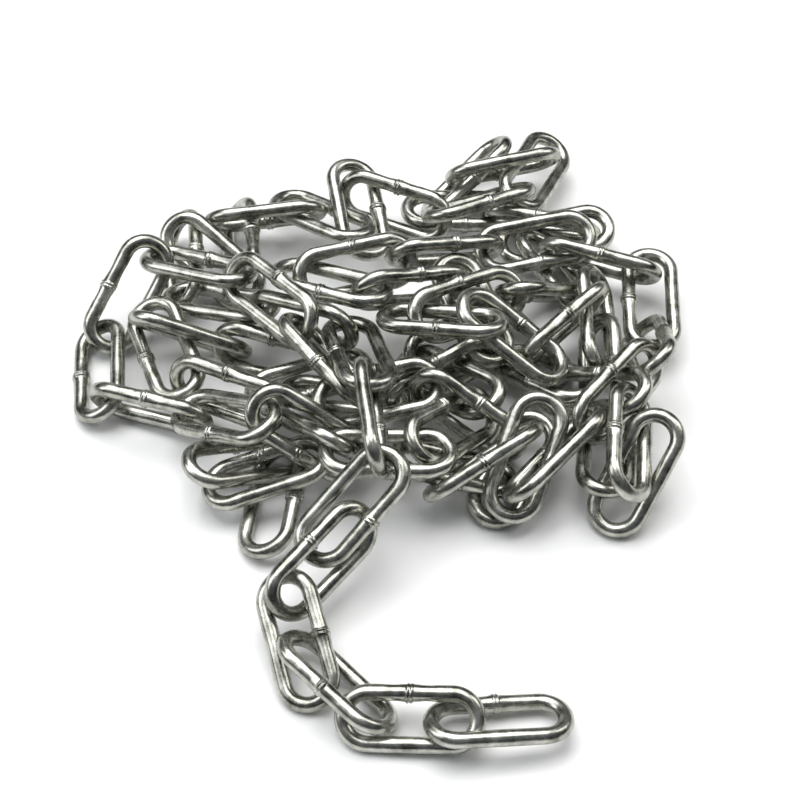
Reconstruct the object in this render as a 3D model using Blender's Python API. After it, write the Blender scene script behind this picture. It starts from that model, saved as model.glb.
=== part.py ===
import math
from itertools import product

import bpy
import numpy as np
from mathutils import Matrix, Vector

# One link of long-link chain, in millimetres
WIRE = 5.0
INNER_LENGTH = 35.0
OUTER_WIDTH = 20.0

# Centreline of a link: two straight sides and two half circles
BEND = (OUTER_WIDTH - WIRE) / 2
HALF_SIDE = (INNER_LENGTH + WIRE) / 2 - BEND
TIP = HALF_SIDE + BEND
BEND_STEPS = 5

# Wires that pass each other keep this distance between their centrelines
CLEARANCE = 5.5
WELDED_CLEARANCE = 4.5
FLOOR_HEIGHT = 2.75

# Where each link lies, in chain order from the free end in front: its number, its middle in
# millimetres from the middle of the heap's floor, its heading, pitch and roll in degrees, and
# the side of its weld seen along the heading. They were read off the picture of the heap.
PLACES = (
    (1, 29, -126, 4, -180, 5, -5, "right"),
    (2, 3, -128, 8, 170, -10, -30, "right"),
    (3, -19, -116, 6, 130, 20, 30, "left"),
    (4, -30, -102, 10, 105, 25, -10, "right"),
    (5, -24, -81, 20, 35, 20, 45, "left"),
    (6, -14, -68, 26, 30, 15, 15, "right"),
    (7, -10, -38, 32, 100, 20, 85, "right"),
    (8, -12, -4, 30, 115, -10, -5, "left"),
    (9, -35, 28, 20, 175, -5, 80, "left"),
    (10, -66, 40, 11, 155, -15, 0, "right"),
    (11, -78, 60, 9, 75, 0, -40, "right"),
    (12, -66, 55, 7, -55, 0, 60, "right"),
    (13, -58, 63, 10, 85, 0, -30, "right"),
    (14, -49, 75, 13, 5, 10, -55, "left"),
    (15, -29, 71, 16, -35, 10, -10, "right"),
    (16, -14, 75, 17, 95, 15, 60, "left"),
    (17, -5, 77, 18, -30, 5, 40, "left"),
    (18, 29, 78, 13, 45, -5, -80, "right"),
    (19, 52, 104, 9, 75, 5, 10, "left"),
    (20, 39, 94, 17, -160, 5, 40, "right"),
    (21, 25, 100, 10, -130, 5, 10, "left"),
    (22, 22, 79, 5, -20, 0, 70, "right"),
    (23, 50, 66, 14, -15, 10, -65, "right"),
    (24, 55, 73, 6, -170, 0, 0, "right"),
    (25, 56, 61, 4, -30, -5, 70, "left"),
    (26, 50, 38, 10, -150, 10, 35, "right"),
    (27, 12, 21, 20, -155, 5, 80, "left"),
    (28, 11, 4, 27, -15, 0, 110, "left"),
    (29, 39, 10, 15, -30, -15, -25, "left"),
    (30, 53, 15, 19, 55, 10, 95, "left"),
    (31, 66, 22, 16, -115, -5, -90, "left"),
    (32, 66, 8, 8, -95, -10, 0, "right"),
    (33, 62, -33, 4, -100, -5, -60, "left"),
    (34, 76, -38, 4, 80, 5, 10, "left"),
    (35, 71, -34, 13, 80, 10, 35, "left"),
    (36, 66, -3, 8, 155, 5, 60, "right"),
    (37, 56, 11, 7, 130, 10, 0, "left"),
    (38, 49, 28, 9, 180, 10, 5, "right"),
    (39, 18, 25, 6, -160, 0, 0, "left"),
    (40, 16, -16, 20, -45, 0, 100, "right"),
    (41, 30, -26, 10, -160, -5, 25, "left"),
    (42, -5, -40, 17, -175, 0, -35, "right"),
    (43, -37, -22, 8, 155, 5, 40, "left"),
    (44, -64, -1, 9, 155, -5, -10, "right"),
    (45, -82, 15, 10, 100, 5, 0, "left"),
    (46, -74, 19, 13, 10, -25, -75, "left"),
    (47, -40, 12, 7, -25, 5, 40, "left"),
    (48, -32, -2, 12, -160, -5, 15, "right"),
    (49, -24, -7, 5, -20, -5, 0, "right"),
    (50, 2, 2, 5, 45, 5, 60, "right"),
    (51, 17, 30, 9, 70, 10, 0, "right"),
    (52, 7, 30, 21, -155, 5, -40, "right"),
    (53, -24, 29, 25, 170, 0, -35, "left"),
    (54, -16, 35, 28, 20, -5, 40, "left"),
    (55, 14, 46, 26, 35, -15, -60, "right"),
    (56, 51, 61, 12, 20, 5, 40, "right"),
    (57, 70, 49, 16, -10, 0, -60, "right"),
    (58, 86, 37, 9, -95, -10, 15, "right"),
    (59, 84, 8, 8, -95, 0, 65, "left"),
    (60, 76, -14, 18, -165, 5, -40, "right"),
    (61, 51, -37, 16, -140, -15, 25, "right"),
    (62, 43, -34, 12, 60, 25, 0, "right"),
    (63, 26, -33, 15, -145, -15, 5, "left"),
    (64, 22, -44, 8, 20, -15, -60, "right"),
    (65, 35, -35, 4, 70, 0, 20, "left"),
    (66, 37, -17, 20, 150, -5, -55, "right"),
    (67, -2, -16, 14, -145, -5, 30, "right"),
    (68, -23, -7, 25, 125, 10, 45, "left"),
    (69, -41, 19, 29, 150, -5, -40, "right"),
    (70, -70, 47, 21, 155, -5, 30, "right"),
    (71, -96, 40, 8, -115, 5, 40, "right"),
    (72, -103, 9, 4, -85, 5, 80, "right"),
    (73, -83, -11, 6, -20, 5, -75, "right"),
    (74, -56, -17, 12, 0, 10, 40, "right"),
    (75, -32, -31, 16, -35, 0, -75, "left"),
    (76, -39, -43, 8, -165, 10, 10, "right"),
    (77, -50, -22, 4, 30, -5, 0, "left"),
    (78, -40, -46, 3, -100, -5, 40, "left"),
)

# Buried links that are joined where they touch, each run by its first and last number
BURIED_RUNS = ((9, 12), (15, 16), (22, 25), (32, 33), (36, 39), (41, 42), (43, 44), (47, 51), (64, 65))

LINK_COUNT = len(PLACES)


# Shape of the centreline and frames of the links
def centreline():
    points = []
    for end in (1, -1):
        for step in range(BEND_STEPS + 1):
            angle = math.pi * step / BEND_STEPS - math.pi / 2
            points.append((end * (HALF_SIDE + BEND * math.cos(angle)), end * BEND * math.sin(angle)))
    return np.array(points)


LOOP = centreline()
EYE_STEP = math.pi / BEND_STEPS
EYE_SLOPES = tuple(EYE_STEP * step for step in range(BEND_STEPS // 2 + 1))


def turn(axis, degrees):
    angle = math.radians(degrees)
    c, s = math.cos(angle), math.sin(angle)
    x, y, z = axis
    d = 1 - c
    return np.array((
        (c + x * x * d, x * y * d - z * s, x * z * d + y * s),
        (y * x * d + z * s, c + y * y * d, y * z * d - x * s),
        (z * x * d - y * s, z * y * d + x * s, c + z * z * d),
    ))


def startPoses():
    centres, turns = [], []
    for number, x, y, z, heading, pitch, roll, weld in PLACES:
        centres.append((x, y, z))
        turns.append(turn((0, 0, 1), heading) @ turn((0, 1, 0), -pitch) @ turn((1, 0, 0), roll))
    return np.array(centres, float), np.array(turns)


def straightened(turns):
    along = turns[:, :, 0] / np.linalg.norm(turns[:, :, 0], axis=1, keepdims=True)
    side = turns[:, :, 1] - (turns[:, :, 1] * along).sum(1, keepdims=True) * along
    side /= np.linalg.norm(side, axis=1, keepdims=True)
    return np.stack([along, side, np.cross(along, side)], -1)


def turned(turns, spin):
    angle = np.linalg.norm(spin, axis=1)
    axis = spin / np.maximum(angle, 1e-12)[:, None]
    cross = np.zeros((len(turns), 3, 3))
    cross[:, 0, 1], cross[:, 1, 0] = -axis[:, 2], axis[:, 2]
    cross[:, 0, 2], cross[:, 2, 0] = axis[:, 1], -axis[:, 1]
    cross[:, 1, 2], cross[:, 2, 1] = -axis[:, 0], axis[:, 0]
    sine, cosine = np.sin(angle)[:, None, None], np.cos(angle)[:, None, None]
    change = np.eye(3) + sine * cross + (1 - cosine) * (cross @ cross)
    return straightened(change @ turns)


def loopsOf(centres, turns):
    along, across = LOOP[None, :, :1], LOOP[None, :, 1:]
    return centres[:, None] + along * turns[:, None, :, 0] + across * turns[:, None, :, 1]


def steadied(centres, turns):
    return np.round(centres, 6), np.round(turns, 7)


# Which links pass through which
def nearPairs(centres, reach):
    first, second = np.triu_indices(LINK_COUNT, 1)
    close = np.linalg.norm(centres[first] - centres[second], axis=1) < reach
    return first[close], second[close]


def passesThrough(local):
    """true where a loop, given in the frame of another link, passes through its eye once"""
    following = np.roll(local, -1, axis=-2)
    low, high = local[..., 2], following[..., 2]
    crossing = (low > 0) != (high > 0)
    share = np.where(crossing, low / np.where(crossing, low - high, 1.0), 0.0)
    x = local[..., 0] + share * (following[..., 0] - local[..., 0])
    y = local[..., 1] + share * (following[..., 1] - local[..., 1])
    inside = crossing & (np.abs(y) < BEND)
    for slope in EYE_SLOPES:
        edge = HALF_SIDE * math.cos(slope) + BEND * math.cos(EYE_STEP / 2)
        inside &= np.abs(x) * math.cos(slope) + np.abs(y) * math.sin(slope) < edge
    return np.where(inside, np.sign(high - low), 0).sum(-1) != 0


def linkedPairs(centres, turns, first, second):
    loops = loopsOf(centres, turns)
    local = (loops[second] - centres[first][:, None]) @ turns[first]
    return passesThrough(local)


def conflicts(centres, turns):
    """pairs of neighbours that aren't linked, and pairs of others that are"""
    first, second = nearPairs(centres, 2 * TIP + 1)
    linked = linkedPairs(centres, turns, first, second)
    neighbours = second == first + 1
    wrong = [(int(a), int(b)) for a, b in zip(first[linked & ~neighbours], second[linked & ~neighbours])]
    joined = set(first[linked & neighbours].tolist())
    wrong += [(k, k + 1) for k in range(LINK_COUNT - 1) if k not in joined]
    return wrong


# Motions of the links: their depth behind the picture is free, and buried links give way first
DEPTH_SHARE = 0.15
SHOWN_LIGHTNESS = 0.35
LIGHTNESS = np.full(LINK_COUNT, SHOWN_LIGHTNESS)
for start, end in BURIED_RUNS:
    LIGHTNESS[start - 1:end] = 1


class Motion:
    """sums the pushes on the links; a link turns most easily about its long axis"""
    EASE = 1 / np.array((50, 190, 240))
    LIFT = np.array((0, 0, 0.6))

    def __init__(self, centres, turns):
        self.centres, self.turns = centres, turns
        self.move = np.zeros((LINK_COUNT, 3))
        self.spin = np.zeros((LINK_COUNT, 3))

    def turningShare(self, who, point, direction):
        moment = np.cross(point - self.centres[who], direction)
        local = np.einsum("kx,kxy->ky", moment, self.turns[who]) * self.EASE
        spin = np.einsum("kxy,ky->kx", self.turns[who], local)
        return LIGHTNESS[who] * (1 + (moment * spin).sum(1)), spin

    def add(self, who, size, direction, spin):
        size = size * LIGHTNESS[who]
        for axis in range(3):
            self.move[:, axis] += np.bincount(who, weights=size * direction[:, axis], minlength=LINK_COUNT)
            self.spin[:, axis] += np.bincount(who, weights=size * spin[:, axis], minlength=LINK_COUNT)

    def pull(self, who, point, shift):
        distance = np.linalg.norm(shift, axis=1)
        direction = shift / np.maximum(distance, 1e-9)[:, None]
        weight, spin = self.turningShare(who, point, direction)
        self.add(who, distance / weight, direction, spin)

    def drawTo(self, centres, turns, moving, turning):
        offset = centres - self.centres
        sight = centres - VIEW_POINT
        sight /= np.linalg.norm(sight, axis=1, keepdims=True)
        offset -= (1 - DEPTH_SHARE) * (offset * sight).sum(1, keepdims=True) * sight
        self.move += moving * offset
        self.spin += turning * sum(np.cross(self.turns[:, :, k], turns[:, :, k]) for k in range(3)) / 2

    def limit(self, longest):
        length = np.linalg.norm(self.move, axis=1)
        self.move *= np.minimum(1, longest / np.maximum(length, 1e-9))[:, None]
        angle = np.linalg.norm(self.spin, axis=1)
        self.spin *= np.minimum(1, longest / TIP / np.maximum(angle, 1e-9))[:, None]

    def keepOnFloor(self):
        loops = loopsOf(self.centres, self.turns)
        lowest = loops[:, :, 2].argmin(1)
        depth = FLOOR_HEIGHT - loops[np.arange(LINK_COUNT), lowest, 2]
        who = np.nonzero(depth > 0)[0]
        if len(who):
            self.pull(who, loops[who, lowest[who]], depth[who][:, None] * self.LIFT)

    def applied(self, longest, widest):
        length = np.linalg.norm(self.move, axis=1)
        move = self.move * np.minimum(1, longest / np.maximum(length, 1e-9))[:, None]
        angle = np.linalg.norm(self.spin, axis=1)
        spin = self.spin * np.minimum(1, widest / np.maximum(angle, 1e-9))[:, None]
        return steadied(self.centres + move, turned(self.turns, spin))


# Stage 1: links that are seen to cross keep their order, neighbours are drawn into each other
VIEW_HEIGHT = 50.0
VIEW_DISTANCE = 620.0
VIEW_POINT = VIEW_DISTANCE * np.array((
    0, -math.cos(math.radians(VIEW_HEIGHT)), math.sin(math.radians(VIEW_HEIGHT))))


def seenFromFront(points):
    slope = math.radians(VIEW_HEIGHT)
    offset = points - VIEW_POINT
    depth = offset @ np.array((0, math.cos(slope), -math.sin(slope)))
    rise = offset @ np.array((0, math.sin(slope), math.cos(slope)))
    return np.stack([offset[..., 0] / depth, rise / depth], -1)


def seenCrossings(loops, first, second):
    seen = seenFromFront(loops)
    following = np.roll(seen, -1, axis=1)
    a, b = seen[first][:, :, None], seen[second][:, None]
    ra, rb = following[first][:, :, None] - a, following[second][:, None] - b
    gap = b - a
    area = ra[..., 0] * rb[..., 1] - ra[..., 1] * rb[..., 0]
    area = np.where(np.abs(area) < 1e-14, 1e-14, area)
    alongA = (gap[..., 0] * rb[..., 1] - gap[..., 1] * rb[..., 0]) / area
    alongB = (gap[..., 0] * ra[..., 1] - gap[..., 1] * ra[..., 0]) / area
    pair, x, y = np.nonzero((alongA >= 0) & (alongA < 1) & (alongB >= 0) & (alongB < 1))
    return pair, x, y, alongA[pair, x, y], alongB[pair, x, y]


# Crowns of neighbours may stay this far apart, before and after they are linked
UNLINKED_SLACK = 1.0
LINKED_SLACK = 5.0
CROWN_INSET = 4.5


def drawNeighbours(motion, missing, strength):
    """inner crown of each link toward the tip of the next one, and the other way round"""
    who = np.arange(LINK_COUNT - 1)
    along = motion.turns[:, :, 0]
    before, after = motion.centres[:-1], motion.centres[1:]
    slack = np.where(missing, UNLINKED_SLACK, LINKED_SLACK)[:, None]
    for here, there in ((TIP - CROWN_INSET, TIP), (TIP, TIP - CROWN_INSET)):
        near, far = before + here * along[:-1], after - there * along[1:]
        gap = far - near
        length = np.linalg.norm(gap, axis=1, keepdims=True)
        shift = gap * np.maximum(0, 1 - slack / np.maximum(length, 1e-9)) / 2 * strength[:, None]
        motion.pull(who, near, shift)
        motion.pull(who + 1, far, -shift)


INTERLACE_STEPS = 250
INTERLACE_REACH = 60

# Strength that draws neighbours together: at first, at least, at most, and its change in a step
FIRST_DRAW = 0.06
LEAST_DRAW = 0.04
MOST_DRAW = 0.3
DRAW_GAIN = 0.003
DRAW_LOSS = 0.0005

# Distance that links keep where they are seen to cross, and how they are pushed to it
FIRST_SPREAD = 1.0
ADDED_SPREAD = 3.0
SPREADING_SHARE = 0.7
NEIGHBOUR_SPREAD = 1.5
CROSSING_PUSH = 0.12
LARGEST_LACK = 4.0

# Pull of a link's own place and turn, and the most that a link moves and turns in a step
PLACE_PULL = 0.03
TURN_PULL = 0.04
INTERLACE_MOVE = 1.5
INTERLACE_TURN = 0.08


def interlace(centres, turns, home, homeTurns):
    strength = np.full(LINK_COUNT - 1, FIRST_DRAW)
    order = np.zeros((LINK_COUNT, LINK_COUNT))
    for step in range(INTERLACE_STEPS):
        spread = FIRST_SPREAD + ADDED_SPREAD * min(1, step / (INTERLACE_STEPS * SPREADING_SHARE))
        first, second = nearPairs(centres, INTERLACE_REACH)
        neighbours = second == first + 1
        linked = linkedPairs(centres, turns, first, second)
        missing = np.ones(LINK_COUNT, bool)
        missing[first[linked & neighbours]] = False
        missing = missing[:-1]
        strength = np.clip(strength + np.where(missing, DRAW_GAIN, -DRAW_LOSS), LEAST_DRAW, MOST_DRAW)
        motion = Motion(centres, turns)
        drawNeighbours(motion, missing, strength)
        loops = loopsOf(centres, turns)
        following = np.roll(loops, -1, axis=1)
        pair, x, y, alongA, alongB = seenCrossings(loops, first, second)
        a, b = first[pair], second[pair]
        onA = loops[a, x] + alongA[:, None] * (following[a, x] - loops[a, x])
        onB = loops[b, y] + alongB[:, None] * (following[b, y] - loops[b, y])
        toward = VIEW_POINT - (onA + onB) / 2
        toward /= np.linalg.norm(toward, axis=1, keepdims=True)
        height = ((onA - onB) * toward).sum(1)
        count = np.bincount(pair, minlength=len(first))
        mean = np.bincount(pair, weights=height, minlength=len(first)) / np.maximum(1, count)
        fresh = (count > 0) & (order[first, second] == 0)
        order[first[fresh], second[fresh]] = np.where(mean[fresh] >= 0, 1, -1)
        order[first[count == 0], second[count == 0]] = 0
        want = order[first, second][pair]
        beside = neighbours[pair]
        want[beside] = np.where(height[beside] >= 0, 1, -1)
        for k in np.nonzero(neighbours & ~linked & (count >= 2))[0]:
            rows = np.nonzero(pair == k)[0]
            want[rows[height[rows].argmax()]] = 1
            want[rows[height[rows].argmin()]] = -1
        lack = np.where(beside, NEIGHBOUR_SPREAD, spread) - want * height
        hit = lack > 0
        push = (CROSSING_PUSH * np.minimum(lack, LARGEST_LACK) * want)[hit][:, None] * toward[hit]
        motion.pull(a[hit], onA[hit], push)
        motion.pull(b[hit], onB[hit], -push)
        motion.drawTo(home, homeTurns, PLACE_PULL, TURN_PULL)
        motion.keepOnFloor()
        centres, turns = motion.applied(INTERLACE_MOVE, INTERLACE_TURN)
    return centres, turns


# Stage 2: a link that is wrongly linked takes the best place among many near its own
SHIFTS = np.array(list(product((-8, -4, 0, 4, 8), (-8, -4, 0, 4, 8), (-8, -4, 0, 4, 8, 12))), float)
SWINGS = tuple(product((-75, -50, -25, 0, 25, 50, 75), (-14, 0, 14), (-14, 0, 14)))
SHORTLIST = 160

# What a trial place costs: for its roll, swing and shift, for staying, and for a wrong linkage
ROLL_COST = 0.0012
SWING_COST = 0.012
SHIFT_COST = 0.08
STAYING_COST = 2
WRONG_COST = 100
TRIAL_REACH = 58
CROWDING_COST = 4.0
NEIGHBOUR_DISTANCE = 3.6
OTHER_DISTANCE = 4.2

# Rounds of moving one link, links tried in a round, and rounds that a moved link rests
UNTANGLING_ROUNDS = 60
LINKS_TRIED = 6
RESTING_ROUNDS = 3


def trialPoses(centre, frame):
    level = np.cross((0, 0, 1), frame[:, 0])
    level = level / np.linalg.norm(level)
    trials = np.array([
        turn((0, 0, 1), heading) @ turn(level, pitch) @ frame @ turn((1, 0, 0), roll)
        for roll, heading, pitch in SWINGS])
    swingCost = np.array([
        ROLL_COST * roll ** 2 + SWING_COST * (heading ** 2 + pitch ** 2)
        for roll, heading, pitch in SWINGS])
    shiftCost = SHIFT_COST * (SHIFTS ** 2).sum(1)
    centres = np.tile(centre + SHIFTS, (len(trials), 1))
    cost = np.repeat(swingCost, len(SHIFTS)) + np.tile(shiftCost, len(trials))
    return centres, np.repeat(trials, len(SHIFTS), axis=0), cost


def closestApproach(loops, other):
    """smallest distance of each trial loop to one other loop, at points and middles"""
    mine = np.concatenate([loops, (loops + np.roll(loops, -1, axis=1)) / 2,
                           loops * 0.75 + np.roll(loops, -1, axis=1) * 0.25,
                           loops * 0.25 + np.roll(loops, -1, axis=1) * 0.75], 1)
    following = np.roll(other, -1, axis=0)
    theirs = np.concatenate([other, (other + following) / 2, other * 0.75 + following * 0.25,
                             other * 0.25 + following * 0.75], 0)
    gap = mine[:, :, None] - theirs[None, None]
    return np.sqrt((gap * gap).sum(-1).min((1, 2)))


def bestPlace(k, centres, turns, home, homeTurns):
    trials, frames, cost = trialPoses(home[k], homeTurns[k])
    trials = np.concatenate([trials, centres[k:k + 1]])
    frames = np.concatenate([frames, turns[k:k + 1]])
    cost = np.append(cost, STAYING_COST + SHIFT_COST * ((centres[k] - home[k]) ** 2).sum())
    droop = HALF_SIDE * np.abs(frames[:, 2, 0]) + BEND * np.hypot(frames[:, 2, 0], frames[:, 2, 1])
    trials[:, 2] = np.maximum(trials[:, 2], FLOOR_HEIGHT + droop)
    near = [
        j for j in range(LINK_COUNT)
        if j != k and np.linalg.norm(centres[j] - home[k]) < TRIAL_REACH]
    loops = loopsOf(centres, turns)
    wrong = np.zeros(len(trials))
    for j in near:
        linked = passesThrough((loops[j][None] - trials[:, None]) @ frames)
        wrong += ~linked if abs(j - k) == 1 else linked
    cost = np.round(cost + WRONG_COST * wrong, 3)
    chosen = np.argsort(cost, kind="stable")[:SHORTLIST]
    trials, frames, cost, wrong = trials[chosen], frames[chosen], cost[chosen], wrong[chosen]
    trialLoops = loopsOf(trials, frames)
    for j in near:
        wanted = NEIGHBOUR_DISTANCE if abs(j - k) == 1 else OTHER_DISTANCE
        lack = np.maximum(0, wanted - closestApproach(trialLoops, loops[j]))
        cost = cost + CROWDING_COST * lack ** 2
    best = int(np.argmin(np.round(cost, 3)))
    return wrong[best], round(float(cost[best]), 2), k, trials[best], frames[best]


def untangle(centres, turns, home, homeTurns):
    centres, turns = centres.copy(), turns.copy()
    lastMoved = {}
    for step in range(UNTANGLING_ROUNDS):
        wrong = conflicts(centres, turns)
        if not wrong:
            break
        count = np.bincount(np.array(wrong).ravel(), minlength=LINK_COUNT)
        movable = [
            int(k) for k in np.argsort(-count, kind="stable")
            if count[k] and (k not in lastMoved or lastMoved[k] < step - RESTING_ROUNDS)]
        options = [bestPlace(k, centres, turns, home, homeTurns) for k in movable[:LINKS_TRIED]]
        if options:
            gain = lambda option: (option[0] - count[option[2]], option[1])
            left, cost, k, centre, frame = min(options, key=gain)
            centres[k], turns[k] = centre, frame
            lastMoved[k] = step
        else:
            lastMoved = {}
    return centres, turns


# Stage 3: the wires take up their thickness
def closestPoints(a, b, c, d):
    u, v, w = b - a, d - c, a - c
    uu, uv, vv = (u * u).sum(-1), (u * v).sum(-1), (v * v).sum(-1)
    uw, vw = (u * w).sum(-1), (v * w).sum(-1)
    slant = uu * vv - uv * uv
    s = np.clip(np.where(slant > 1e-9, (uv * vw - vv * uw) / np.maximum(slant, 1e-9), 0.0), 0, 1)
    t = np.clip((uv * s + vw) / vv, 0, 1)
    s = np.clip((uv * t - uw) / uu, 0, 1)
    return a + s[:, None] * u, c + t[:, None] * v


def closeWires(loops, first, second, reach):
    """closest points of the sides of near pairs of links"""
    following = np.roll(loops, -1, axis=1)
    middle, half = (loops + following) / 2, np.linalg.norm(following - loops, axis=2) / 2
    gap = np.linalg.norm(middle[first][:, :, None] - middle[second][:, None], axis=3)
    limit = half[first][:, :, None] + half[second][:, None] + reach[:, None, None]
    pair, x, y = np.nonzero(gap < limit)
    a, b = first[pair], second[pair]
    onA, onB = closestPoints(loops[a, x], following[a, x], loops[b, y], following[b, y])
    return pair, a, b, onA, onB


def pushApart(motion, first, second, wanted, strength):
    loops = loopsOf(motion.centres, motion.turns)
    pair, a, b, onA, onB = closeWires(loops, first, second, wanted)
    gap = onA - onB
    distance = np.linalg.norm(gap, axis=1)
    deep = wanted[pair] - distance
    hit = deep > 0
    pair, a, b, onA, onB, gap, distance, deep = (
        values[hit] for values in (pair, a, b, onA, onB, gap, distance, deep))
    direction = gap / np.maximum(distance, 1e-6)[:, None]
    total = np.bincount(pair, weights=deep, minlength=len(first))
    weightA, spinA = motion.turningShare(a, onA, direction)
    weightB, spinB = motion.turningShare(b, onB, direction)
    size = deep / (weightA + weightB) * deep / total[pair] * strength
    motion.add(a, size, direction, spinA)
    motion.add(b, -size, direction, spinB)
    tight = np.zeros(LINK_COUNT, bool)
    half = distance < wanted[pair] / 2
    tight[a[half]] = True
    tight[b[half]] = True
    return tight


# steps, clearance at their end, pull toward the wanted places, its limit, sinking, strength
SETTLING = (
    (90, 2.2, 0, 0, 0, 0.5),
    (160, 2.4, 0.06, 0.12, 0, 0.5),
    (600, 5.5, 0.03, 0.07, 0, 0.7),
    (160, 5.55, 0.01, 0.02, 0, 0.6),
    (1400, 5.6, 0, 0, 0, 1.0),
)


THINNEST = 0.3
SETTLING_REACH = 49
PAIRING_INTERVAL = 5
TURN_SHARE = 1.5
SETTLING_MOVE = 0.3
SETTLING_TURN = 0.02

# Welded neighbours are drawn together from this far apart
CLOSING_REACH = 14.0
CLOSING_PULL = 0.15


def withoutNewLinks(centres, turns, newCentres, newTurns, first, second):
    """takes back the moves that would change which link passes through which"""
    neighbours = second == first + 1
    for attempt in range(6):
        changed = linkedPairs(newCentres, newTurns, first, second) != neighbours
        if not changed.any():
            break
        back = np.unique(np.concatenate([first[changed], second[changed]]))
        if attempt == 4:
            back = np.arange(LINK_COUNT)
        newCentres[back], newTurns[back] = centres[back], turns[back]
    return newCentres, newTurns


def weldedPairs():
    """neighbours inside a buried run"""
    joined = set()
    for start, end in BURIED_RUNS:
        joined.update(range(start - 1, end - 1))
    return joined


def closeUp(motion, first, second, welded):
    """draws the welded neighbours together until their wires meet"""
    pairs = np.nonzero(welded)[0]
    loops = loopsOf(motion.centres, motion.turns)
    pair, a, b, onA, onB = closeWires(loops, first[pairs], second[pairs], np.full(len(pairs), CLOSING_REACH))
    distance = np.linalg.norm(onA - onB, axis=1)
    for k in range(len(pairs)):
        rows = np.nonzero(pair == k)[0]
        if not len(rows):
            continue
        row = rows[distance[rows].argmin()]
        gap = distance[row] - WELDED_CLEARANCE
        if gap > 0:
            shift = ((onB - onA)[row] / distance[row] * gap * CLOSING_PULL)[None]
            motion.pull(a[row:row + 1], onA[row:row + 1], shift)
            motion.pull(b[row:row + 1], onB[row:row + 1], -shift)


def takeUpThickness(centres, turns, wantedCentres, wantedTurns):
    """the clearance grows while the links return toward their places, then the heap settles"""
    welded = weldedPairs()
    clearance = THINNEST
    count = 0
    for steps, goal, pull, pullLimit, sinking, strength in SETTLING:
        start = clearance
        for step in range(steps):
            clearance = start + (goal - start) * (step + 1) / steps
            if count % PAIRING_INTERVAL == 0:
                first, second = nearPairs(centres, SETTLING_REACH)
                joined = np.array([b == a + 1 and int(a) in welded for a, b in zip(first, second)])
            count += 1
            wanted = np.where(joined, clearance - CLEARANCE + WELDED_CLEARANCE, clearance)
            motion = Motion(centres, turns)
            tight = pushApart(motion, first, second, np.maximum(wanted, THINNEST), strength)
            homeward = Motion(centres, turns)
            homeward.drawTo(wantedCentres, wantedTurns, pull, pull * TURN_SHARE)
            homeward.limit(pullLimit)
            motion.move += np.where(tight[:, None], 0, homeward.move)
            motion.spin += np.where(tight[:, None], 0, homeward.spin)
            motion.move[:, 2] -= sinking
            if clearance >= CLEARANCE:
                closeUp(motion, first, second, joined)
            motion.keepOnFloor()
            newCentres, newTurns = motion.applied(SETTLING_MOVE, SETTLING_TURN)
            centres, turns = withoutNewLinks(centres, turns, newCentres, newTurns, first, second)
    return centres, turns


def heapedLinks():
    home, homeTurns = startPoses()
    centres, turns = interlace(home, homeTurns, home, homeTurns)
    centres, turns = untangle(centres, turns, home, homeTurns)
    return takeUpThickness(centres, turns, home, homeTurns)


# Wires
MILLIMETRE = 0.001
SIDES_SHOWN = 8
SIDES_BURIED = 6
WELD_SPREAD = 3.0
WELD_SWELL = 1.07
ZINC_COLOUR = (0.55, 0.55, 0.53, 1)
ZINC_ROUGHNESS = 0.22


def roundRadius(sides):
    """radius to the corners of a tube with few sides that has the round wire's section"""
    angle = 2 * math.pi / sides
    return WIRE / 2 * math.sqrt(angle / math.sin(angle))


def wireCurve(name, sides, welded, material):
    curve = bpy.data.curves.new(name, "CURVE")
    curve.dimensions = "3D"
    curve.bevel_depth = roundRadius(SIDES_SHOWN) * MILLIMETRE
    curve.bevel_resolution = sides // 2 - 2
    points = [(x, y, 1.0) for x, y in LOOP]
    if welded:
        points += [(-WELD_SPREAD, -BEND, 1), (0, -BEND, WELD_SWELL), (WELD_SPREAD, -BEND, 1)]
    spline = curve.splines.new("POLY")
    spline.points.add(len(points) - 1)
    spline.use_cyclic_u = True
    for point, (x, y, swell) in zip(spline.points, points):
        point.co = (x * MILLIMETRE, y * MILLIMETRE, 0, 1)
        point.radius = swell
    spline.use_smooth = True
    curve.materials.append(material)
    return curve


def zincPlated():
    material = bpy.data.materials.new("bright_zinc_plate")
    material.use_nodes = True
    shader = material.node_tree.nodes["Principled BSDF"]
    shader.inputs["Base Color"].default_value = ZINC_COLOUR
    shader.inputs["Metallic"].default_value = 1.0
    shader.inputs["Roughness"].default_value = ZINC_ROUGHNESS
    return material


def placed(item, centre, frame, weld):
    """the weld is made on the right side, and a left weld turns the link over"""
    place = Matrix(frame.tolist()).to_4x4()
    place.translation = Vector(centre * MILLIMETRE)
    if weld == "left":
        place = place @ Matrix.Rotation(math.pi, 4, "X")
    item.location = place.to_translation()
    item.rotation_euler = place.to_euler()


def linkObject(name, data, centre, frame, weld, collection):
    item = bpy.data.objects.new(name, data)
    placed(item, centre, frame, weld)
    collection.objects.link(item)
    return item


def asMesh(item):
    """a curve link becomes a mesh, so that others can be joined to it"""
    bpy.context.view_layer.update()
    depsgraph = bpy.context.evaluated_depsgraph_get()
    mesh = bpy.data.meshes.new_from_object(item.evaluated_get(depsgraph))
    name, place, collection = item.name, item.matrix_world.copy(), item.users_collection[0]
    bpy.data.objects.remove(item)
    solid = bpy.data.objects.new(name, mesh)
    solid.matrix_world = place
    collection.objects.link(solid)
    return solid


def joinedRun(name, links):
    """one solid of buried links that touch"""
    base, others = links[0], links[1:]
    base.name = name
    for other in others:
        other.hide_render = True
        other.display_type = "WIRE"
        join = base.modifiers.new("join " + other.name, "BOOLEAN")
        join.operation = "UNION"
        join.solver = "EXACT"
        join.object = other
    return base


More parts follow.
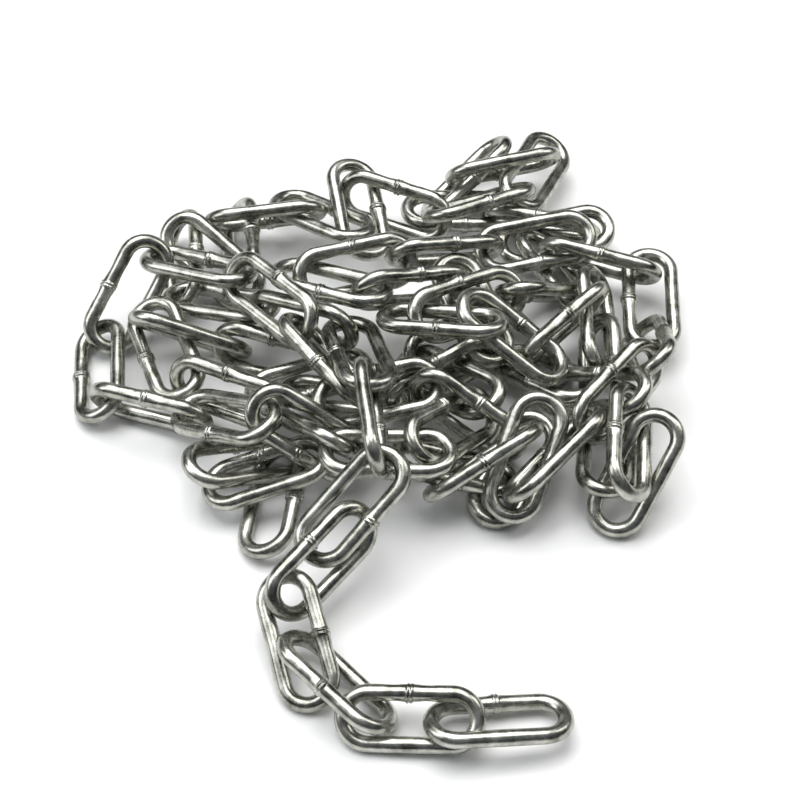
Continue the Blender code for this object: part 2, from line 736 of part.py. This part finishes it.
def standOnOrigin(items, base):
    """moves the heap so that the middle of its footprint is the origin and its lowest wire is at 0"""
    bpy.context.view_layer.update()
    depsgraph = bpy.context.evaluated_depsgraph_get()
    low, high = np.full(3, np.inf), np.full(3, -np.inf)
    for item in items:
        evaluated = item.evaluated_get(depsgraph)
        mesh = evaluated.to_mesh()
        corners = np.empty(3 * len(mesh.vertices))
        mesh.vertices.foreach_get("co", corners)
        place = np.array(evaluated.matrix_world)
        corners = corners.reshape(-1, 3) @ place[:3, :3].T + place[:3, 3]
        evaluated.to_mesh_clear()
        low, high = np.minimum(low, corners.min(0)), np.maximum(high, corners.max(0))
    middle = (low + high) / 2
    base.location = (-middle[0], -middle[1], -low[2])


def build():
    for item in list(bpy.data.objects):
        bpy.data.objects.remove(item)
    heap = bpy.data.collections.new("chain_heap")
    buried = bpy.data.collections.new("buried_links")
    for collection in (heap, buried):
        bpy.context.scene.collection.children.link(collection)
    centres, turns = heapedLinks()
    material = zincPlated()
    shown = wireCurve("link_wire", SIDES_SHOWN, True, material)
    hidden = wireCurve("buried_wire", SIDES_BURIED, False, material)
    inRun = {number for start, end in BURIED_RUNS for number in range(start, end + 1)}
    firstOfRun = {start for start, end in BURIED_RUNS}
    base = bpy.data.objects.new("heap_base", None)
    heap.objects.link(base)
    links = {}
    for (number, *place, weld), centre, frame in zip(PLACES, centres, turns):
        inside = number in inRun
        home = buried if inside and number not in firstOfRun else heap
        item = linkObject(f"link_{number:02d}", hidden if inside else shown, centre, frame, weld, home)
        links[number] = asMesh(item) if inside else item
    for start, end in BURIED_RUNS:
        joinedRun(f"buried_links_{start:02d}_{end:02d}", [links[number] for number in range(start, end + 1)])
    for item in links.values():
        item.parent = base
    standOnOrigin([item for item in links.values() if not item.hide_render], base)


build()
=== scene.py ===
import math
import bpy
import numpy as np
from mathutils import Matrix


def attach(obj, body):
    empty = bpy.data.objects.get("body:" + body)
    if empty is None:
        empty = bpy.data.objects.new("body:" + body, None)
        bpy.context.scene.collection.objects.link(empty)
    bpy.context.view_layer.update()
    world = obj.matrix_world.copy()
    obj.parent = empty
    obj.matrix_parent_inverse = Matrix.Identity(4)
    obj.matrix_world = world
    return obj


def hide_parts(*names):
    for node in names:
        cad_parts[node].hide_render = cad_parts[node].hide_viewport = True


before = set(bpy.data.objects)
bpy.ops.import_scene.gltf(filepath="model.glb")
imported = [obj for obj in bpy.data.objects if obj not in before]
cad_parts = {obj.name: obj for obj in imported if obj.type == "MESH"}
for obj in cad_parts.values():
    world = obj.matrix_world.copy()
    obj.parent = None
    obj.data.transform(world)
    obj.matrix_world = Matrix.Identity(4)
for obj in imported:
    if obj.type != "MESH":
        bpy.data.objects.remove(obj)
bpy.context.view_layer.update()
print("frame loaded:", len(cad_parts), "nodes")

# camera first: the photograph looks down on the heap from in front
view = {
    "elevation": 50.0,        # degrees above the floor
    "distance": 0.620,        # metres from the target to the camera
    "target": (0.0074, 0.0097, -0.0001),    # metres
    "lens": 81.9,             # millimetres, on a 36 mm wide picture
    "sensor": 36.0,
    "nearest": 0.01,          # metres: nothing closer or farther is drawn
    "farthest": 20.0,
}


def makeCamera():
    data = bpy.data.cameras.new("camera")
    data.lens = view["lens"]
    data.sensor_width = view["sensor"]
    data.clip_start = view["nearest"]
    data.clip_end = view["farthest"]
    camera = bpy.data.objects.new("camera", data)
    bpy.context.scene.collection.objects.link(camera)
    rise = math.radians(view["elevation"])
    x, y, z = view["target"]
    back = view["distance"] * math.cos(rise)
    up = view["distance"] * math.sin(rise)
    camera.location = (x, y - back, z + up)
    camera.rotation_euler = (math.pi / 2 - rise, 0, 0)
    bpy.context.scene.camera = camera


makeCamera()
print("camera placed")

# one link of 5 mm long-link chain, in millimetres
link = {
    "wire": 5.0,
    "innerLength": 35.0,
    "outerWidth": 20.0,
    "ringsAlong": 132,
    "ringsAround": 22,
    "crowding": 0.78,         # 0 spaces the rings evenly, nearer 1 draws them together at the weld
    "seed": 11,
    "wave": 0.05,             # how far the wire strays from a true round
    "swayWaves": 3,           # waves in one trip round the loop that shift the wire sideways
    "ovalWaves": 5,           # and those that make it oval
    "ovalShare": 0.6,
    "bendThinning": 0.10,     # wire drawn thinner outside the bends
}
# the butt weld in the middle of one side, in millimetres
weld = {
    "ridgeHeight": 0.36,
    "ridgeWidth": 0.8,
    "ridgeGap": 1.15,         # between the two ridges
    "ridgeUneven": 0.35,      # share by which a ridge stands higher on one side of the wire
    "leanMost": 0.35,         # how far the ridges may run off square
    "offsetMost": 0.5,        # how far the weld may lie from the middle of the side
    "upsetHeight": 0.20,
    "upsetWidth": 2.4,
    "gripPlace": 5.2,         # flats where the welder's electrodes held the wire
    "gripWidth": 2.2,
    "gripDepth": 0.14,
}
fullTurn = 6.28               # radians, the range of the random starts
bend = (link["outerWidth"] - link["wire"]) / 2
halfSide = (link["innerLength"] + link["wire"]) / 2 - bend
loopLength = 4 * halfSide + 2 * math.pi * bend


# The centreline by distance run: along one straight side, round a half circle, back along the
# other side and round the second half circle. It starts in the middle of the side at -y, where
# the weld is, and gives places and headings.
def alongLoop(distance):
    s = np.mod(distance, loopLength)
    turnLength = math.pi * bend
    onFirst = s < halfSide
    onBendA = (s >= halfSide) & (s < halfSide + turnLength)
    onSide = (s >= halfSide + turnLength) & (s < 3 * halfSide + turnLength)
    onBendB = (s >= 3 * halfSide + turnLength) & (s < 3 * halfSide + 2 * turnLength)
    angleA = (s - halfSide) / bend - math.pi / 2
    angleB = (s - 3 * halfSide - turnLength) / bend + math.pi / 2
    stretches = [onFirst, onBendA, onSide, onBendB]
    x = np.select(
        stretches,
        [s, halfSide + bend * np.cos(angleA), 2 * halfSide + turnLength - s,
         -halfSide + bend * np.cos(angleB)],
        s - loopLength)
    y = np.select(
        stretches,
        [-bend, bend * np.sin(angleA), bend, bend * np.sin(angleB)],
        -bend)
    heading = np.select(
        stretches,
        [0.0, angleA + math.pi / 2, math.pi, angleB + math.pi / 2],
        0.0)
    return x, y, heading


# Distance run along the loop for each ring, negative before the weld and positive after it:
# even steps less a sine, which draws the rings together at the weld.
def ringDistances():
    along = np.linspace(0, 1, link["ringsAlong"], endpoint=False)
    along = along - link["crowding"] * np.sin(2 * math.pi * along) / (2 * math.pi)
    return (along - np.round(along)) * loopLength


# A tube round the centreline, whose radius is half the wire + two narrow ridges and a low swelling
# at the weld - two flats beside it + slow waves - a little thinning outside the bends. Gives the
# points on a grid, along the loop by round the wire, and the distance run along the loop.
def linkSurface(rng):
    s = ringDistances()
    around = 2 * math.pi * np.arange(link["ringsAround"]) / link["ringsAround"]
    distance, angle = np.meshgrid(s, around, indexing="ij")
    x, y, heading = alongLoop(s)
    radius = np.full(distance.shape, link["wire"] / 2)
    lean = rng.uniform(-weld["leanMost"], weld["leanMost"])
    offset = rng.uniform(-weld["offsetMost"], weld["offsetMost"])
    offCentre = distance - offset - lean * np.cos(angle)
    ridge = np.exp(-((np.abs(offCentre) - weld["ridgeGap"] / 2) / (weld["ridgeWidth"] / 2)) ** 2)
    uneven = 1 + weld["ridgeUneven"] * np.cos(angle - rng.uniform(0, fullTurn))
    radius += weld["ridgeHeight"] * uneven * ridge
    radius += weld["upsetHeight"] * np.exp(-(offCentre / weld["upsetWidth"]) ** 2)
    grip = np.exp(-((np.abs(distance) - weld["gripPlace"]) / weld["gripWidth"]) ** 4)
    radius -= weld["gripDepth"] * grip * np.maximum(0, np.cos(2 * angle)) ** 3
    phase = rng.uniform(0, fullTurn, 4)    # the fourth is a spare
    turns = 2 * math.pi * distance / loopLength
    sway = np.sin(link["swayWaves"] * turns + phase[0]) * np.cos(angle + phase[1])
    oval = np.sin(link["ovalWaves"] * turns + 2 * angle + phase[2])
    radius += link["wave"] * (sway + link["ovalShare"] * oval)
    inBend = np.clip((np.abs(x) - halfSide) / bend, 0, 1)[:, None]
    radius -= link["bendThinning"] * inBend * np.maximum(0, np.cos(angle))
    # round the wire: 0 points away from the middle of the link
    outX = np.sin(heading)[:, None]
    outY = -np.cos(heading)[:, None]
    surfaceX = x[:, None] + radius * np.cos(angle) * outX
    surfaceY = y[:, None] + radius * np.cos(angle) * outY
    surfaceZ = radius * np.sin(angle)
    return np.stack([surfaceX, surfaceY, surfaceZ], -1), s


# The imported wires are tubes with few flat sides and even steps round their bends. From their
# corners the script reads back where each link lies, in millimetres.
wireForm = {
    "shownSides": 8,
    "buriedSides": 6,
    "weldSwell": 1.1,         # how many times wider a shown wire is at its weld
    "bendRings": 6,
    "bendTurn": math.pi / 5,  # from one ring to the next round a bend
    "turnSlack": 0.1,         # radians, on that turn
    "slack": 0.03,            # on the length of an edge
    "stepSlack": 0.08,        # on the step from ring to ring
    "matchSlack": 0.16,       # on the place of a ring
    "fewestRings": 3,         # that make a bend, or a link
    "weldReach": 5.0,         # a ring this near the middle of a side belongs to the weld
    "wireReach": 1.0,         # and this near the line of the wire
}
cornerTurn = 2 * math.pi / wireForm["shownSides"]
cornerRadius = link["wire"] / 2 * math.sqrt(cornerTurn / math.sin(cornerTurn))
perMetre = 1000               # millimetres
farAway = 1e6                 # where a ring is put that a link already has


# the node's corners, each once, and the edges between them
def mergedMesh(node):
    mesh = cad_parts[node].data
    corners = np.empty(3 * len(mesh.vertices))
    mesh.vertices.foreach_get("co", corners)
    corners = np.round(corners.reshape(-1, 3) * perMetre, 2)
    points, index = np.unique(corners, axis=0, return_inverse=True)
    mesh.calc_loop_triangles()
    triangles = np.empty(3 * len(mesh.loop_triangles), int)
    mesh.loop_triangles.foreach_get("vertices", triangles)
    triangles = index.ravel()[triangles].reshape(-1, 3)
    edges = np.concatenate([triangles[:, (0, 1)], triangles[:, (1, 2)], triangles[:, (2, 0)]])
    return points, np.unique(np.sort(edges, axis=1), axis=0)


# the smallest label spreads along the edges until nothing changes
def groupsOf(count, edges):
    label = np.arange(count)
    while True:
        low = np.minimum(label[edges[:, 0]], label[edges[:, 1]])
        new = label.copy()
        np.minimum.at(new, edges[:, 0], low)
        np.minimum.at(new, edges[:, 1], low)
        if (new == label).all():
            return label
        label = new


# rings of corners across the wire: corners joined by edges as long as one side of the tube
# gives their middles, and which of them follow each other round one bend
def wireRings(node, sides):
    points, edges = mergedMesh(node)
    length = np.linalg.norm(points[edges[:, 0]] - points[edges[:, 1]], axis=1)
    side = 2 * cornerRadius * math.sin(math.pi / sides)
    longest = side * (wireForm["weldSwell"] if sides == wireForm["shownSides"] else 1)
    isSide = (length > side - wireForm["slack"]) & (length < longest + wireForm["slack"])
    ringOf = groupsOf(len(points), edges[isSide])
    middles = []
    number = np.full(len(points), -1)
    for label in np.unique(ringOf):
        corners = points[ringOf == label]
        reach = np.linalg.norm(corners - corners.mean(0), axis=1)
        if len(corners) == sides and np.ptp(reach) < 2 * wireForm["slack"]:
            number[ringOf == label] = len(middles)
            middles.append(corners.mean(0))
    middles = np.array(middles)
    joined = number[edges]
    joined = joined[(joined >= 0).all(1) & (joined[:, 0] != joined[:, 1])]
    apart = np.linalg.norm(middles[joined[:, 0]] - middles[joined[:, 1]], axis=1)
    bendStep = 2 * bend * math.sin(wireForm["bendTurn"] / 2)
    isBend = np.abs(apart - bendStep) < wireForm["stepSlack"]
    return middles, groupsOf(len(middles), joined[isBend])


# where the rings round both bends lie, in the link's own axes
def ringPlaces():
    turn = np.arange(wireForm["bendRings"]) * wireForm["bendTurn"] - math.pi / 2
    oneEnd = np.stack([halfSide + bend * np.cos(turn), bend * np.sin(turn), 0 * turn], 1)
    return np.concatenate([oneEnd, oneEnd * [-1, 1, 1]])


# possible centres and axes of the link that has these rings round one of its bends:
# a plane through the rings, a circle in it by least squares, and each count of missing rings
def trialPlaces(middles):
    centre = middles.mean(0)
    plane = np.linalg.svd(middles - centre)[2]
    x, y = ((middles - centre) @ plane[:2].T).T
    equations = np.stack([2 * x, 2 * y, np.ones(len(x))], 1)
    across, along = np.linalg.lstsq(equations, x * x + y * y, rcond=None)[0][:2]
    angle = np.arctan2(y - along, x - across)
    # the first ring round the bend has no ring one step before it
    step = np.mod(angle[:, None] - angle[None, :], 2 * math.pi)
    first = angle[(np.abs(step - wireForm["bendTurn"]) > wireForm["turnSlack"]).all(1)]
    if len(first) != 1:
        return
    pivot = centre + across * plane[0] + along * plane[1]
    normal = np.cross(plane[0], plane[1])
    for before in range(wireForm["bendRings"] - len(middles) + 1):
        outward = first[0] + math.pi / 2 - before * wireForm["bendTurn"]
        front = math.cos(outward) * plane[0] + math.sin(outward) * plane[1]
        yield pivot - halfSide * front, np.array([front, np.cross(normal, front), normal])


# rings found where a link with this centre and these axes has them: pairs of place and middle
def matched(places, middles, centre, axes):
    target = places @ axes + centre
    apart = np.linalg.norm(target[:, None] - middles[None], axis=2)
    return np.argwhere(apart < wireForm["matchSlack"])


# centre and axes that carry the places onto the middles with the least error
def bestFit(places, middles):
    u, size, v = np.linalg.svd((places - places.mean(0)).T @ (middles - middles.mean(0)))
    axes = u @ np.diag([1, 1, np.sign(np.linalg.det(u @ v))]) @ v
    return middles.mean(0) - places.mean(0) @ axes, axes


# half a turn about the link's normal where the rings of the weld are on the side at +y
def weldToFront(centre, axes, middles):
    x, y, z = ((middles - centre) @ axes.T).T
    offWire = np.maximum(np.abs(np.abs(y) - bend), np.abs(z))
    atWeld = (np.abs(x) < wireForm["weldReach"]) & (offWire < wireForm["wireReach"])
    if atWeld.any() and y[atWeld].mean() > 0:
        return axes * np.array([[-1], [-1], [1]])
    return axes


# centre and axes of each link in a node, turned so that the weld is on the side at -y
def linksOf(node):
    buried = node.startswith("buried")
    middles, bendOf = wireRings(node, wireForm["buriedSides" if buried else "shownSides"])
    numbers = [int(word) for word in node.split("_") if word.isdigit()]
    places = ringPlaces()
    fewest = wireForm["fewestRings"]
    trials = [trial for label in np.unique(bendOf) if (bendOf == label).sum() >= fewest
              for trial in trialPlaces(middles[bendOf == label])]
    free = np.ones(len(middles), bool)
    found = []
    counts = []
    while len(found) < numbers[-1] - numbers[0] + 1:
        unused = np.where(free[:, None], middles, farAway)
        pairs = [matched(places, unused, *trial) for trial in trials]
        best = max(pairs, key=len, default=())
        if len(best) < fewest:
            print("not all links found:", node, len(found))
            break
        centre, axes = bestFit(places[best[:, 0]], middles[best[:, 1]])
        free[best[:, 1]] = False
        found.append((centre, weldToFront(centre, axes, middles)))
        counts.append(len(best))
    if buried:
        print(node, "rings matched:", counts)
    return found


# Corners of the quads between neighbouring rings, closed along the loop and round the wire.
def loopQuads():
    rows, columns = link["ringsAlong"], link["ringsAround"]
    a, b = np.meshgrid(np.arange(rows), np.arange(columns), indexing="ij")
    nextA = (a + 1) % rows
    nextB = (b + 1) % columns
    quads = [a * columns + b, nextA * columns + b, nextA * columns + nextB, a * columns + nextB]
    return np.stack(quads, -1).reshape(-1, 4)


# UV of each quad's corners in metres, so that the finish keeps its real size: u is the distance
# run along the wire and v the distance round it, both moved by a shift of the link's own.
def wireUv(s, shift):
    rows, columns = link["ringsAlong"], link["ringsAround"]
    whole = np.ones((rows, columns, 4))
    end = np.roll(s, -1)
    end = np.where(end < s - 1, end + loopLength, end)
    turn = np.arange(columns) / columns
    nextTurn = turn + 1 / columns
    u = np.stack([s, end, end, s], -1)[:, None, :] * whole
    v = np.stack([turn, turn, nextTurn, nextTurn], -1)[None] * whole * math.pi * link["wire"]
    return np.stack([u / perMetre + shift, v / perMetre + shift], -1).reshape(-1, 2)


def quadMesh(name, points, faces, uvs):
    mesh = bpy.data.meshes.new(name)
    mesh.vertices.add(len(points))
    mesh.vertices.foreach_set("co", points.ravel())
    mesh.loops.add(faces.size)
    mesh.loops.foreach_set("vertex_index", faces.ravel())
    mesh.polygons.add(len(faces))
    mesh.polygons.foreach_set("loop_start", np.arange(0, faces.size, 4))
    mesh.polygons.foreach_set("loop_total", np.full(len(faces), 4))
    mesh.polygons.foreach_set("use_smooth", np.ones(len(faces), bool))
    mesh.update(calc_edges=True)
    mesh.uv_layers.new(name="alongWire").data.foreach_set("uv", uvs.ravel())
    mesh.validate()
    return mesh


# one closed tube for each link, carried to its place
def linkMesh(name, places, rng):
    quads = loopQuads()
    allPoints, allQuads, allUvs = [], [], []
    for centre, axes in places:
        surface, s = linkSurface(rng)
        points = surface.reshape(-1, 3) @ axes + centre
        allQuads.append(quads + len(allPoints) * len(points))
        allPoints.append(points)
        allUvs.append(wireUv(s, rng.uniform(0, 1)))
    points = np.concatenate(allPoints) / perMetre
    return quadMesh(name, points, np.concatenate(allQuads), np.concatenate(allUvs))


# sRGB hex to linear colour
def linear(hexColour):
    values = [int(hexColour[k:k + 2], 16) / 255 for k in (1, 3, 5)]
    return tuple(v / 12.92 if v <= 0.04045 else ((v + 0.055) / 1.055) ** 2.4 for v in values) + (1.0,)


# one node, with its settings, its socket values and what is plugged into it
def addNode(tree, kind, settings=(), inputs=(), links=()):
    node = tree.nodes.new(kind)
    for key, value in dict(settings).items():
        setattr(node, key, value)
    for key, value in dict(inputs).items():
        node.inputs[key].default_value = value
    for key, source in dict(links).items():
        tree.links.new(source, node.inputs[key])
    return node


# bright chromated zinc plate over drawn wire: a mirror-like grey metal, faintly clouded, with
# fine streaks along the wire
zincPlate = {
    "light": "#bfbfb7",
    "dark": "#78786f",
    "darkBelow": 0.32,        # of the clouds
    "lightAbove": 0.62,
    "roughness": 0.19,
    "cloudedRoughness": 0.36,
    "roughnessFrom": 0.35,    # of streaks and clouds mixed
    "roughnessTo": 0.65,
    "streaksPerMetre": (90.0, 5200.0, 1.0),    # along the wire, round it
    "streakNoise": {"Scale": 1.0, "Detail": 4.0, "Roughness": 0.6},
    "streakShare": 0.5,       # the rest of the mix is clouds
    "cloudNoise": {"Scale": 1 / 0.006, "Detail": 5.0, "Roughness": 0.62},     # 6 mm
    "grainNoise": {"Scale": 1 / 0.0006, "Detail": 3.0, "Roughness": 0.6},     # 0.6 mm
    "reliefStreaks": 0.6,     # how much the streaks add to the grain's relief
    "reliefStrength": 0.10,
    "reliefDepth": 0.0002,    # metres, deeper than the real marks so that they show
}


def brightZinc():
    material = bpy.data.materials.new("brightZincPlate")
    material.use_nodes = True
    tree = material.node_tree
    shader = tree.nodes["Principled BSDF"]
    shader.inputs["Metallic"].default_value = 1.0
    place = addNode(tree, "ShaderNodeTexCoord")
    wire = addNode(tree, "ShaderNodeUVMap", {"uv_map": "alongWire"})
    stretched = addNode(tree, "ShaderNodeMapping", {},
                        {"Scale": zincPlate["streaksPerMetre"]},
                        {"Vector": wire.outputs["UV"]})
    streaks = addNode(tree, "ShaderNodeTexNoise", {"noise_dimensions": "2D"},
                      zincPlate["streakNoise"],
                      {"Vector": stretched.outputs["Vector"]})
    clouds = addNode(tree, "ShaderNodeTexNoise", {},
                     zincPlate["cloudNoise"],
                     {"Vector": place.outputs["Object"]})
    grain = addNode(tree, "ShaderNodeTexNoise", {},
                    zincPlate["grainNoise"],
                    {"Vector": place.outputs["Object"]})
    tone = addNode(tree, "ShaderNodeValToRGB", links={"Fac": clouds.outputs["Fac"]})
    tone.color_ramp.elements[0].position = zincPlate["darkBelow"]
    tone.color_ramp.elements[0].color = linear(zincPlate["dark"])
    tone.color_ramp.elements[1].position = zincPlate["lightAbove"]
    tone.color_ramp.elements[1].color = linear(zincPlate["light"])
    tree.links.new(tone.outputs["Color"], shader.inputs["Base Color"])
    streakPart = addNode(tree, "ShaderNodeMath", {"operation": "MULTIPLY"},
                         {1: zincPlate["streakShare"]},
                         {0: streaks.outputs["Fac"]})
    mixed = addNode(tree, "ShaderNodeMath", {"operation": "MULTIPLY_ADD"},
                    {1: 1 - zincPlate["streakShare"]},
                    {0: clouds.outputs["Fac"], 2: streakPart.outputs["Value"]})
    rough = addNode(tree, "ShaderNodeMapRange", {"clamp": True},
                    {"From Min": zincPlate["roughnessFrom"], "From Max": zincPlate["roughnessTo"],
                     "To Min": zincPlate["roughness"], "To Max": zincPlate["cloudedRoughness"]},
                    {"Value": mixed.outputs["Value"]})
    tree.links.new(rough.outputs["Result"], shader.inputs["Roughness"])
    relief = addNode(tree, "ShaderNodeMath", {"operation": "MULTIPLY_ADD"},
                     {1: zincPlate["reliefStreaks"]},
                     {0: streaks.outputs["Fac"], 2: grain.outputs["Fac"]})
    bump = addNode(tree, "ShaderNodeBump", {},
                   {"Strength": zincPlate["reliefStrength"], "Distance": zincPlate["reliefDepth"]},
                   {"Height": relief.outputs["Value"]})
    tree.links.new(bump.outputs["Normal"], shader.inputs["Normal"])
    return material


def pieceName(node):
    words = node.split("_")
    if node.startswith("buried"):
        return "buriedLinks" + words[-2] + "to" + words[-1]
    return "chainLink" + words[-1]


plate = brightZinc()
rng = np.random.default_rng(link["seed"])
linkCount = 0
for node in sorted(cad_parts):
    places = linksOf(node)
    linkCount += len(places)
    name = pieceName(node)
    piece = bpy.data.objects.new(name, linkMesh(name, places, rng))
    bpy.context.scene.collection.objects.link(piece)
    piece.data.materials.append(plate)
    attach(piece, "root")
    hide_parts(node)
print("links made:", linkCount)

# a white floor under a soft studio
studio = {
    "floorColour": "#f2f2f1",
    "floorRoughness": 0.85,
    "floorSize": 60.0,        # metres, wide enough to fill the picture in views from well above
    "worldAbove": "#767b7e",
    "worldHorizon": "#0d0f0e",
    "horizonUpTo": 0.12,      # height on a ball of radius 1 where the sky starts to brighten
    "aboveFrom": 0.8,         # and where it is at its brightest
    "worldStrength": 1.0,
    # one wide even light from above and a little behind, as a distant panel
    "panelPlace": (-0.10, 0.34, 1.1),
    "panelSpread": 52.0,      # degrees
    "panelStrength": 3.0,
    # name, place in metres, size in metres, power in watts, colour
    "lamps": (
        ("softboxLeft", (-1.0, -0.1, 0.8), (0.6, 0.9), 6.0, "#fbfdff"),
        ("softboxRight", (0.9, 0.3, 0.9), (0.4, 0.8), 4.0, "#fffdfa"),
    ),
}


def makeFloor():
    half = studio["floorSize"] / 2
    corners = [(-half, -half, 0), (half, -half, 0), (half, half, 0), (-half, half, 0)]
    mesh = bpy.data.meshes.new("floor")
    mesh.from_pydata(corners, [], [(0, 1, 2, 3)])
    floor = bpy.data.objects.new("floor", mesh)
    bpy.context.scene.collection.objects.link(floor)
    material = bpy.data.materials.new("mattWhitePaint")
    material.use_nodes = True
    shader = material.node_tree.nodes["Principled BSDF"]
    shader.inputs["Base Color"].default_value = linear(studio["floorColour"])
    shader.inputs["Roughness"].default_value = studio["floorRoughness"]
    mesh.materials.append(material)


def makeWorld():
    world = bpy.data.worlds.new("studio")
    world.use_nodes = True
    tree = world.node_tree
    place = addNode(tree, "ShaderNodeTexCoord")
    split = addNode(tree, "ShaderNodeSeparateXYZ", links={"Vector": place.outputs["Generated"]})
    ramp = addNode(tree, "ShaderNodeValToRGB", links={"Fac": split.outputs["Z"]})
    ramp.color_ramp.elements[0].position = studio["horizonUpTo"]
    ramp.color_ramp.elements[0].color = linear(studio["worldHorizon"])
    ramp.color_ramp.elements[1].position = studio["aboveFrom"]
    ramp.color_ramp.elements[1].color = linear(studio["worldAbove"])
    background = tree.nodes["Background"]
    tree.links.new(ramp.outputs["Color"], background.inputs["Color"])
    background.inputs["Strength"].default_value = studio["worldStrength"]
    bpy.context.scene.world = world


# a lamp at this place, turned to shine on the middle of the heap's floor
def facingHeap(name, data, place):
    lamp = bpy.data.objects.new(name, data)
    bpy.context.scene.collection.objects.link(lamp)
    lamp.location = place
    x, y, z = place
    tilt = math.atan2(math.hypot(x, y), z)
    lamp.rotation_euler = (tilt, 0, math.atan2(y, x) + math.pi / 2)


def makeLamps():
    panel = bpy.data.lights.new("panelAbove", "SUN")
    panel.angle = math.radians(studio["panelSpread"])
    panel.energy = studio["panelStrength"]
    facingHeap("panelAbove", panel, studio["panelPlace"])
    for name, place, size, power, colour in studio["lamps"]:
        data = bpy.data.lights.new(name, "AREA")
        data.shape = "RECTANGLE"
        data.size, data.size_y = size
        data.energy = power
        data.color = linear(colour)[:3]
        facingHeap(name, data, place)


makeFloor()
makeWorld()
makeLamps()
bpy.context.scene.view_settings.view_transform = "Standard"
print("studio ready")
